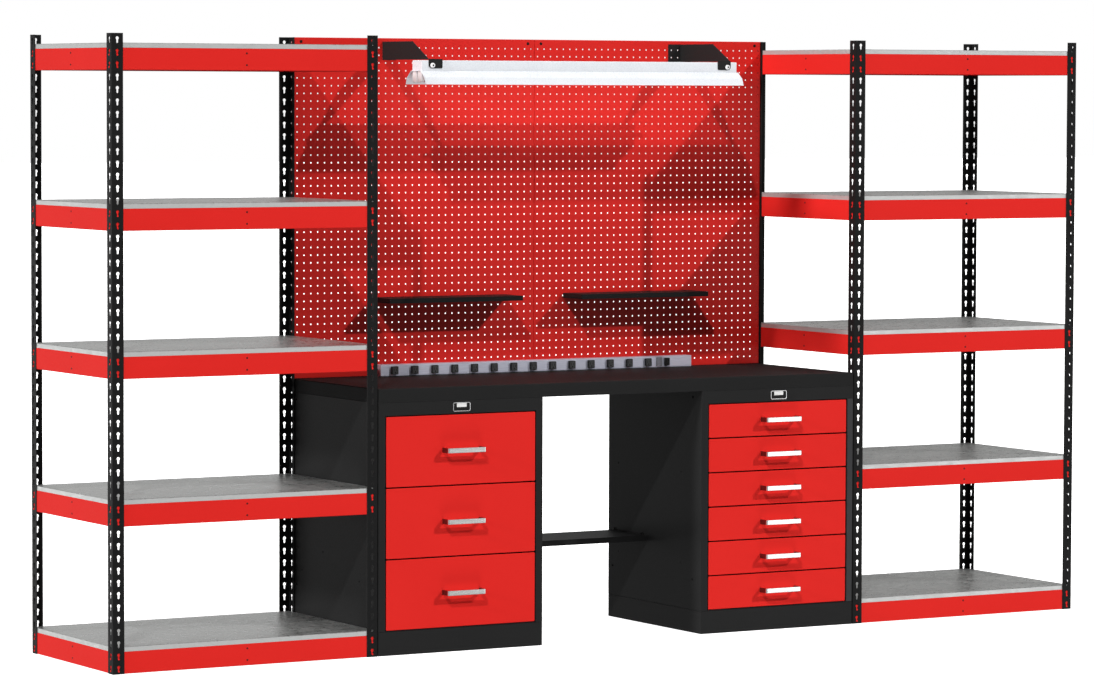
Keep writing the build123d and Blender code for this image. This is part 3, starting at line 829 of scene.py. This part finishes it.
def drawer(side, sign, number):
    """Front, box, runners and pull of one drawer."""
    name = f"{side}_drawer_{number}"
    count = DRAWERS[side]
    step = (OPENING_HEIGHT - DRAWER_GAP) / count
    height = step - DRAWER_GAP
    foot = OPENING_FOOT + DRAWER_GAP + (count - number) * step
    x, z = sign * CASE_MIDDLE, foot + height / 2
    start = FRONT + FRONT_DEPTH
    face, back = Form(), Form()
    size = (OPENING_WIDTH - 2 * DRAWER_GAP - FACE_TRIM[0], height - FACE_TRIM[1])
    back_of_face = FRONT + FACE_WALL
    slab(face, "y", (x, z), size, back_of_face, FRONT, corner=3.5, edge=0.4, high_edge=1.4, steps=4)
    piece(f"{name}_face", face, RED, "red_paint", f"{name}_front", body=name)
    # The face is red and the pan behind it is black, so the gaps between drawers read dark: painted
    # shade in the gaps.
    back_size = (size[0] - BACK_TRIM, size[1] - BACK_TRIM)
    back_face = back_of_face + BACK_GAP
    pan(back, "y", (x, z), back_size, back_face, start, wall=1.5, corner=3.0, edge=0.6, steps=4)
    piece(f"{name}_back", back, POST_BLACK, "black_paint", body=name)

    box, rails = Form(), Form()
    box_foot, box_height = foot + BOX_MARGIN, height - 2 * BOX_MARGIN
    middle, length = (x, start + BOX_DEPTH / 2), BOX_DEPTH - 2 * BOX_GAP
    box_size = (BOX_WIDTH, length)
    pan(box, "z", middle, box_size, box_foot, box_foot + box_height, wall=1.2, corner=2.5, edge=1.6)
    piece(f"{name}_tray", box, BLACK, "black_paint", f"{name}_box", body=name)
    for end in (-1, 1):
        runner(rails, x + end * BOX_WIDTH / 2, -end, z, start + BOX_GAP, length)
    piece(f"{name}_runners", rails, ZINC, "zinc_plating", body=name)

    pull, legs = Form(), Form()
    bar_pull(pull, legs, x, z)
    piece(f"{name}_pull", pull, BRIGHT, "bright_plating", f"{name}_handle", body=name)
    # The legs are the pull's own plating, drawn darker: painted shade on their sides.
    piece(f"{name}_pull_legs", legs, DARKER_PLATING, "bright_plating", body=name)


def label_plates():
    """Blank plates: metal rim, dark field and plain card."""
    rim, field, card = Form(), Form(), Form()
    plate, face, steps = (64.0, 30.0), FRONT - 2.4, 5
    # Rings from the rim's face into its window: (size, corner, level)
    window = (
        ((59.4, 25.4), 4.0, face),
        ((58.8, 24.8), 3.6, FRONT - 1.9),
        ((58.8, 24.8), 3.6, FRONT - 0.9),
    )
    z = CASE_TOP - TOP_RAIL / 2
    for _, sign in SIDES:
        middle = (sign * CASE_MIDDLE, z)
        rings = [ring("y", middle, plate, 6.0, FRONT, steps)]
        rings += edge_rings("y", middle, plate, 6.0, face, FRONT, 1.0, steps)[::-1]
        rings += [ring("y", middle, *inward, steps) for inward in window]
        rim.rings(rings)
        slab(field, "y", middle, (58.6, 24.6), FRONT - 0.85, FRONT - 1.25, corner=3.5, edge=0.1)
        card_middle = (middle[0], z + 5.6)
        slab(card, "y", card_middle, (36.0, 12.6), FRONT - 1.2, FRONT - 1.6, corner=0.8, edge=0.1)
    piece("label_rims", rim, PLATE, "plate_metal", "label_plates")
    piece("label_fields", field, FIELD_BLACK, "outlet_plastic")
    piece("label_cards", card, CARD, "white_plastic")


for side, sign in SIDES:
    pedestal(side, sign)
    for number in range(1, DRAWERS[side] + 1):
        drawer(side, sign, number)
label_plates()

# A thin grey strip on the right stile of the right pedestal, lighter than the stile.
COVER_WIDTH, COVER_TRIM, COVER_WALL, COVER_SHIFT = 20.5, 2.0, 1.2, 0.4
cover = Form()
cover_x = CASE_MIDDLE + CASE_WIDTH / 2 - STILE / 2 - COVER_SHIFT
cover_middle = (cover_x, OPENING_FOOT + OPENING_HEIGHT / 2)
cover_size = (COVER_WIDTH, OPENING_HEIGHT - COVER_TRIM)
cover_face = FRONT - COVER_WALL
slab(cover, "y", cover_middle, cover_size, FRONT, cover_face, corner=1.5, edge=0.2, high_edge=0.6)
piece("right_stile_bar", cover, STILE_STRIP_GREY, "black_paint")

bench_top = Form()
top_size = (2 * BENCH_HALF, DEPTH)
top_foot = CASE_TOP + SEAM
top_middle = (0.0, DEPTH_MIDDLE)
pan(bench_top, "z", top_middle, top_size, BENCH_HEIGHT, top_foot, wall=2.5, corner=3.0, edge=4.0)
piece("top", bench_top, TOP_BLACK, "black_paint", "bench_top")

SHELF_HALF, SHELF_DEPTH, SHELF_FRONT = BENCH_HALF - CASE_WIDTH - 0.3, 228.6, FRONT + 341.0
SHELF_TOP, SHELF_FOOT, SHELF_WALL = 302.0, 283.0, 1.5
TAB_SIZE, TAB_LEVEL, SCREW_LEVEL = (20.0, 10.0), 306.0, 306.2
lower = Form()
shelf_middle, shelf_size = (0.0, SHELF_FRONT + SHELF_DEPTH / 2), (2 * SHELF_HALF, SHELF_DEPTH)
pan(lower, "z", shelf_middle, shelf_size, SHELF_TOP, SHELF_FOOT, wall=SHELF_WALL, corner=2.0, edge=2.2)
for end in (-1, 1):
    inside, outside = end * (SHELF_HALF - SHELF_WALL), end * SHELF_HALF
    for y in (SHELF_FRONT + 40.0, SHELF_FRONT + SHELF_DEPTH - 11.0):
        slab(lower, "x", (y, TAB_LEVEL), TAB_SIZE, *sorted((inside, outside)), corner=3.0, edge=0.3)
        turned(lower, (inside, y, SCREW_LEVEL), (-end, 0, 0), SHELF_SCREW)
piece("knee_shelf", lower, POST_BLACK, "black_paint", "lower_shelf")

coat(nodes["deck_supports"], DECK)


# Peg panels

PEG_COLUMNS, PEG_ROWS, PEG_FOOT, PEG_RADIUS = 36, 43, 34.75, 2.7
PANEL_BEND, PANEL_WALL, PANEL_DEPTH, PANEL_GAP = 2.2, 1.5, 20.0, 0.2
PEG_SHELF_X, PEG_SHELF_SIZE, PEG_SHELF_TOP, PEG_SHELF_FOOT = 368.3, (508.0, 127.0), 1120.0, 1103.7
SCREW_DROP = 14.0


def peg_panel(side, sign):
    """Pan with a hole at each inch and turned edges."""
    low_x, high_x = sorted((sign * PANEL_GAP, sign * BENCH_HALF))
    columns = sorted(sign * INCH * k for k in range(1, PEG_COLUMNS))
    rows = [(PEG_FOOT - 0.5 + k) * INCH for k in range(PEG_ROWS + 1)]
    start = 0.0 if sign > 0 else -PEG_COLUMNS * INCH
    middle = ((low_x + high_x) / 2, (BENCH_HEIGHT + POST_HEIGHT) / 2)

    def lines(inset):
        us = [low_x + inset] + columns + [high_x - inset]
        vs = [BENCH_HEIGHT + inset] + rows + [POST_HEIGHT - inset]
        return us, vs

    def hole(i, j):
        if not 1 <= j <= PEG_ROWS:
            return None
        return circle(start + INCH * (i + 0.5), (PEG_FOOT + j - 1) * INCH, PEG_RADIUS)

    form = Form()
    fronts, backs = lines(PANEL_BEND), lines(PANEL_WALL)
    place = lambda back, u, v: (u, PANEL_FACE + back * PANEL_WALL, v)
    at = perforated(form, fronts, backs, hole, place)
    outline, inside = border(*fronts), border(*backs)

    def pushed(point, by):
        """Point of the outline, moved out from each edge that it lies on."""
        moved = []
        for value, line, centre in zip(point, fronts, middle):
            on_edge = min(abs(value - line[0]), abs(value - line[-1])) < 1e-6
            moved.append(value + copysign(by, value - centre) if on_edge else value)
        return moved

    def turned_edge(push, depth):
        moved = [pushed(p, push) for p in outline]
        return form.loop([(u, PANEL_FACE + depth, v) for u, v in moved])

    loops = [[at(0, *p) for p in outline]]
    for k in (1, 2, 3):
        turn = radians(30 * k)
        loops.append(turned_edge(PANEL_BEND * sin(turn), PANEL_BEND * (1 - cos(turn))))
    loops.append(turned_edge(PANEL_BEND, PANEL_DEPTH))
    loops.append(form.loop([(u, PANEL_FACE + PANEL_DEPTH, v) for u, v in inside]))
    loops.append([at(1, *p) for p in inside])
    for a, b in zip(loops, loops[1:]):
        for i in range(len(a)):
            j = (i + 1) % len(a)
            form.faces.append((a[i], a[j], b[j], b[i]))
    piece(f"{side}_peg_panel", form, PEG_RED_SHADED, "red_paint", f"pegboard_{side}")


for side, sign in SIDES:
    peg_panel(side, sign)
    hanging = Form()
    pan(
        hanging, "z", (sign * PEG_SHELF_X, PANEL_FACE - PEG_SHELF_SIZE[1] / 2), PEG_SHELF_SIZE,
        PEG_SHELF_TOP, PEG_SHELF_FOOT, wall=1.5, corner=2.0, edge=2.0,
    )
    piece(f"{side}_peg_shelf", hanging, POST_BLACK, "black_paint", f"pegboard_shelf_{side}")

screws = Form()
for x in (-BENCH_HALF + INCH, -INCH, INCH, BENCH_HALF - INCH):
    turned(screws, (x, PANEL_FACE, POST_HEIGHT - SCREW_DROP), (0, -1, 0), PANEL_SCREW)
piece("panel_screws", screws, POST_BLACK, "black_paint", "pegboard_screws")


# Lamp

BRACKET_FOOT, BRACKET_HEIGHT, BRACKET_WEB, BRACKET_WALL = 1908.9, 60.3, 584.0, 2.0
BRACKET_REACH, BRACKET_TOP = 321.0, 207.5
BRACKET_SPLIT, BRACKET_HOLE, HOLE_RADIUS, HOLE_COLUMNS = 76.3 * INCH, 75.75, 3.0, (21.5, 22.5)
TAB_FOOT, TAB_WIDTH, TAB_CORNER = 1880.4, 51.0, 3.0
BOLT_X, BOLT_LEVEL, LOBE = 570.5, TAB_FOOT + 9.5, (13.5, 9.5)
LAMP_MIDDLE, LAMP_ROOF = 11.7, 1872.1
CHANNEL_TOP, CHANNEL_HALF, CHANNEL_DEPTH = 1906.4, 609.6, 64.0
WING = ((-69.0, -44.0), (-59.0, -21.0), (-32.0, 0.0), (32.0, 0.0), (59.0, -21.0), (69.0, -44.0))
WING_WALL, WING_BEND, WING_OVERHANG = 0.8, 4.0, 5.0
TUBE_OFFSET, TUBE_DROP, TUBE_RADIUS, CAP_LENGTH = 17.0, 24.0, 13.0, 13.0
HOLDER_DEPTH, HOLDER_SIZE = 12.0, (27.0, 36.2)


def lamp_tab(end):
    """Outline of the tab at a bracket's foot, with a round lobe below the bolt."""
    web, top, steps = end * BRACKET_WEB, BRACKET_FOOT + BRACKET_WALL, 8
    inner = web - end * TAB_WIDTH
    points = [(web, top), (inner, top), (inner, TAB_FOOT + TAB_CORNER)]
    points.append((inner + end * TAB_CORNER, TAB_FOOT))
    for k in range(steps + 1):
        turn = radians(270 + 90 * k / steps)
        x, z = end * (BOLT_X + LOBE[0] * cos(turn)), BOLT_LEVEL + LOBE[1] * sin(turn)
        points.append((x, z))
    return points


brackets, bolts, bolt_heads = Form(), Form(), Form()
tab_front = PANEL_FACE - BRACKET_REACH
web_outline = (
    (PANEL_FACE, BRACKET_FOOT),
    (tab_front, BRACKET_FOOT),
    (PANEL_FACE - BRACKET_TOP, BRACKET_FOOT + BRACKET_HEIGHT),
    (PANEL_FACE, BRACKET_FOOT + BRACKET_HEIGHT),
)
for end in (-1, 1):
    web = end * BRACKET_WEB
    brackets.rings([[(x, y, z) for y, z in web_outline] for x in (web, web - end * BRACKET_WALL)])
    xs = sorted(web - end * inward for inward in (BRACKET_WALL, INCH, 2 * INCH))
    zs = [BRACKET_FOOT, BRACKET_SPLIT, BRACKET_FOOT + BRACKET_HEIGHT]
    centres = sorted(end * INCH * column for column in HOLE_COLUMNS)
    hole = lambda i, j: circle(centres[i], (BRACKET_HOLE + j) * INCH, HOLE_RADIUS)
    place = lambda back, u, v: (u, PANEL_FACE - (1 - back) * BRACKET_WALL, v)
    at = perforated(brackets, (xs, zs), (xs, zs), hole, place)
    brackets.walls(at, border(xs, zs))
    tab = lamp_tab(end)
    brackets.rings([[(x, y, z) for x, z in tab] for y in (tab_front, tab_front + BRACKET_WALL)])
    bolt_place = (end * BOLT_X, tab_front, BOLT_LEVEL)
    turned(bolts, bolt_place, (0, -1, 0), WASHER, 24)
    turned(bolt_heads, bolt_place, (0, -1, 0), BOLT_HEAD, 16)
piece("lamp_brackets", brackets, BLACK, "black_paint", "light_brackets")
piece("lamp_bolts", bolts, WHITE_PLASTIC, "white_paint", "light_bolts")
piece("lamp_bolt_heads", bolt_heads, POST_BLACK, "black_paint")

channel = Form()
channel_size = (2 * CHANNEL_HALF, CHANNEL_DEPTH)
channel_place = ("z", (0.0, LAMP_MIDDLE), channel_size)
pan(channel, *channel_place, CHANNEL_TOP, LAMP_ROOF, wall=1.0, corner=2.0, edge=3.0)
piece("lamp_channel", channel, ENAMEL, "white_paint", "light_channel")

reflector = Form()
reach = CHANNEL_HALF + WING_OVERHANG
wing_place = lambda d, z, s: (s, LAMP_MIDDLE + d, LAMP_ROOF + z)
folded(reflector, bent(WING, WING_WALL, WING_BEND, -1, 4), (-reach, reach), wing_place)
piece("lamp_reflector", reflector, ENAMEL, "white_paint", "light_reflector")

tubes, caps, holders = Form(), Form(), Form()
holder_face = CHANNEL_HALF - HOLDER_DEPTH
glass_end = holder_face - CAP_LENGTH
half_glass = ((glass_end - 3.0, TUBE_RADIUS), (glass_end, TUBE_RADIUS - 0.6), (glass_end, 0))
glass = tuple((-along, radius) for along, radius in half_glass[::-1]) + half_glass
holder_level = LAMP_ROOF - WING_WALL - HOLDER_SIZE[1] / 2
for y in (LAMP_MIDDLE - TUBE_OFFSET, LAMP_MIDDLE + TUBE_OFFSET):
    z = LAMP_ROOF - TUBE_DROP
    turned(tubes, (0, y, z), (1, 0, 0), glass, 24)
    for end in (-1, 1):
        turned(caps, (end * glass_end, y, z), (end, 0, 0), TUBE_CAP, 24)
        ends = sorted((end * holder_face, end * CHANNEL_HALF))
        slab(holders, "x", (y, holder_level), HOLDER_SIZE, *ends, corner=7.0, edge=1.2, steps=4)
piece("lamp_tubes", tubes, GLASS, "lamp_glass", "light_tubes")
piece("lamp_caps", caps, PLATE, "plate_metal")
piece("lamp_holders", holders, WHITE_PLASTIC, "white_plastic", "light_sockets")


# Power strip

STRIP_HALF, STRIP_HEIGHT, STRIP_DEPTH = 609.5, 38.5, 38.0
STRIP_FRONT, STRIP_MIDDLE = PANEL_FACE - STRIP_DEPTH, BENCH_HEIGHT + STRIP_HEIGHT / 2
# Lower half of the strip's section: (depth behind its face, height)
STRIP_EDGE = (
    (STRIP_DEPTH, 0.0), (2.2, 0.0), (0.6, 0.7), (0.0, 2.2),
    (0.0, 3.6), (0.7, 3.9), (0.7, 4.5), (0.0, 4.8),
)
OUTLETS, OUTLET_PITCH, OUTLET_START, OUTLET_PROUD = 15, 76.2, -558.8, 9.0
OUTLET_SIZE, LAST_SIZE = (24.0, 27.0), (18.0, 27.0)
# Slots of an outlet: (sideways, upwards, size, corner)
SLOTS = ((-4.6, 2.2, (1.9, 8.4), 0.4), (4.6, 2.2, (1.9, 7.0), 0.4), (0.0, -6.6, (5.0, 5.0), 2.3))
RIBS, RIB_START, RIB_PITCH, RIB_SIZE = 5, 468.0, 5.2, (2.6, 31.0)

strip = Form()
section = STRIP_EDGE + tuple((d, STRIP_HEIGHT - z) for d, z in STRIP_EDGE[::-1])
strip.rings(
    [[(x, STRIP_FRONT + d, BENCH_HEIGHT + z) for d, z in section] for x in (-STRIP_HALF, STRIP_HALF)]
)
piece("strip_body", strip, STRIP, "strip_metal", "power_strip_housing")

outlets, faces, slot_shades = Form(), Form(), Form()
proud = STRIP_FRONT - OUTLET_PROUD
for number in range(OUTLETS):
    middle = (OUTLET_START + OUTLET_PITCH * number, STRIP_MIDDLE)
    last = number == OUTLETS - 1
    size, inner = (LAST_SIZE, outlets) if last else (OUTLET_SIZE, faces)
    less = lambda by: (size[0] - by, size[1] - by)
    rings = [ring("y", middle, size, 2.4, STRIP_FRONT + 0.3)]
    rings += edge_rings("y", middle, size, 2.4, proud, STRIP_FRONT, 1.0)[::-1]
    rings.append(ring("y", middle, less(4.2), 2.0, proud))
    rings.append(ring("y", middle, less(4.8), 1.8, proud + 1.2))
    outlets.rings(rings)
    levels = (proud + 1.3, proud + 0.5)
    slab(inner, "y", middle, less(5.1), *levels, corner=1.7, edge=0.05, high_edge=0.3)
    # The slots are thin black sheets on the face, not holes: painted shade in the slots.
    for sideways, upwards, slot_size, corner in SLOTS:
        place = (middle[0] + sideways, STRIP_MIDDLE + upwards)
        slab(slot_shades, "y", place, slot_size, proud + 0.55, proud + 0.42, corner, edge=0.02)
piece("strip_outlets", outlets, DARK_PLASTIC, "outlet_plastic", "power_strip_outlets")
piece("strip_faces", faces, GREY_PLASTIC, "outlet_plastic")
piece("strip_slot_shades", slot_shades, POST_BLACK, "outlet_plastic")

ribs = Form()
for k in range(RIBS):
    middle = (RIB_START + RIB_PITCH * k, STRIP_MIDDLE)
    levels = (STRIP_FRONT + 0.3, STRIP_FRONT - 0.9)
    slab(ribs, "y", middle, RIB_SIZE, *levels, corner=0.8, edge=0.1, high_edge=0.5)
piece("strip_ribs", ribs, DARKER_PLATING, "strip_metal")


# Floor, light and camera

FLOOR_REACH, FLOOR_DROP = 90.0, 0.0005
floor_finish, floor_tree, floor_shader = new_finish("pale_floor")
floor_tone = noise(floor_tree, 1.3, detail=3.0)
feed(floor_tree, floor_shader, {
    "Base Color": ramp(floor_tree, floor_tone, ((0.3, (0.88, 0.88, 0.88)), (0.7, (0.91, 0.91, 0.91)))),
    "Roughness": 0.8,
    "Specular IOR Level": 0.1,
    "Emission Color": WHITE,
    "Emission Strength": 0.90,
})
floor_mesh = bpy.data.meshes.new("floor")
floor_corners = [(x * FLOOR_REACH, y * FLOOR_REACH, 0) for x, y in ((-1, -1), (1, -1), (1, 1), (-1, 1))]
floor_mesh.from_pydata(floor_corners, [], [(0, 1, 2, 3)])
floor_mesh.materials.append(floor_finish)
floor = put("floor", floor_mesh)
floor.location.z = -FLOOR_DROP
floor.visible_diffuse = False
floor.visible_glossy = False
floor.visible_shadow = False

world = bpy.data.worlds.new("studio")
bpy.context.scene.world = world
world.use_nodes = True
air = world.node_tree


def sky(strength):
    """Plain white surroundings of a strength."""
    return add(air, "Background", {"Color": WHITE, "Strength": strength})["Background"]


def either(test, no, yes):
    """One of two surroundings, by a test."""
    return add(air, "MixShader", {"Fac": test, 1: no, 2: yes})["Shader"]


rays = add(air, "LightPath")
height = add(air, "SeparateXYZ", {"Vector": add(air, "TexCoord")["Generated"]})["Z"]
above = add(air, "Math", {0: height, 1: 0.0}, operation="GREATER_THAN")["Value"]
lit = either(rays["Is Glossy Ray"], either(above, sky(0.045), sky(0.065)), sky(0.36))
feed(air, air.nodes["World Output"], {"Surface": either(rays["Is Camera Ray"], lit, sky(1.0))})


def soft_light(name, direction, distance, size, strength, target=(0, 0, 1.0)):
    """Card of light that looks at a point; strength is about what a white face turned to it shows."""
    target = Vector(target)
    data = bpy.data.lights.new(name, "AREA")
    data.shape = "RECTANGLE"
    data.size, data.size_y = size
    data.energy = strength * (pi * distance) ** 2
    lamp = put(name, data)
    lamp.location = target + Vector(direction).normalized() * distance
    lamp.rotation_euler = (target - lamp.location).to_track_quat("-Z", "Y").to_euler()
    lamp.visible_camera = False
    return data


def sun_light(name, direction, strength, spread_angle):
    """Even light that no gloss mirrors; strength is what a white face turned to it shows."""
    data = bpy.data.lights.new(name, "SUN")
    data.energy = strength * pi
    data.angle = spread_angle
    lamp = put(name, data)
    lamp.rotation_euler = Vector(direction).to_track_quat("Z", "Y").to_euler()
    lamp.visible_glossy = False


sun_light("key_right", (0.82, -1.0, 0.82), 0.49, 0.02)
sun_light("key_left", (-0.82, -1.0, 1.11), 0.40, 0.02)
sun_light("side_left", (-1.0, -0.06, 0.35), 0.74, 0.12)
sun_light("side_right", (1.0, 0.10, 0.40), 0.42, 0.12)
sun_light("back", (0.15, 1.0, 0.50), 0.42, 0.20)
sun_light("floor_bounce", (0.05, -1.0, -1.25), 0.34, 0.60)
soft_light("front_card", (0.711, -0.703, -0.07), 11.0, (6.0, 3.5), 0.080)
soft_light("back_card", (-0.50, 0.86, -0.09), 11.0, (5.0, 3.0), 0.048)
soft_light("far_card", (0.28, 0.96, 0.10), 11.0, (5.0, 3.5), 0.017)
glow_target = (0.14, PANEL_FACE * MM, 1.70)
glow = soft_light("lamp_glow", (0, -0.20, 0.12), 0.233, (1.25, 0.03), 0.53, glow_target)
glow.color = (1.0, 0.96, 0.80)

# The camera of the photo: focal length and width in pixels, place in metres, angles in degrees
FOCAL_PIXELS, PHOTO_PIXELS, SENSOR = 4450.7171, 1094, 36.0
CAMERA_PLACE = (-7.58407, -12.78146, 1.80183)
YAW, TILT, ROLL = (radians(angle) for angle in (30.2791, 3.309, 0.1793))
camera_data = bpy.data.cameras.new("camera")
camera_data.sensor_width = SENSOR
camera_data.lens = FOCAL_PIXELS / PHOTO_PIXELS * SENSOR
camera_data.clip_end = 200.0
camera = put("camera", camera_data)
ahead = Vector((sin(YAW) * cos(TILT), cos(YAW) * cos(TILT), -sin(TILT)))
sideways = Vector((cos(YAW), -sin(YAW), 0))
upward = sideways.cross(ahead)
right = sideways * cos(ROLL) + upward * sin(ROLL)
up = upward * cos(ROLL) - sideways * sin(ROLL)
turn = Matrix((right, up, -ahead)).transposed().to_4x4()
camera.matrix_world = Matrix.Translation(CAMERA_PLACE) @ turn
bpy.context.scene.camera = camera
bpy.context.scene.view_settings.view_transform = "Standard"
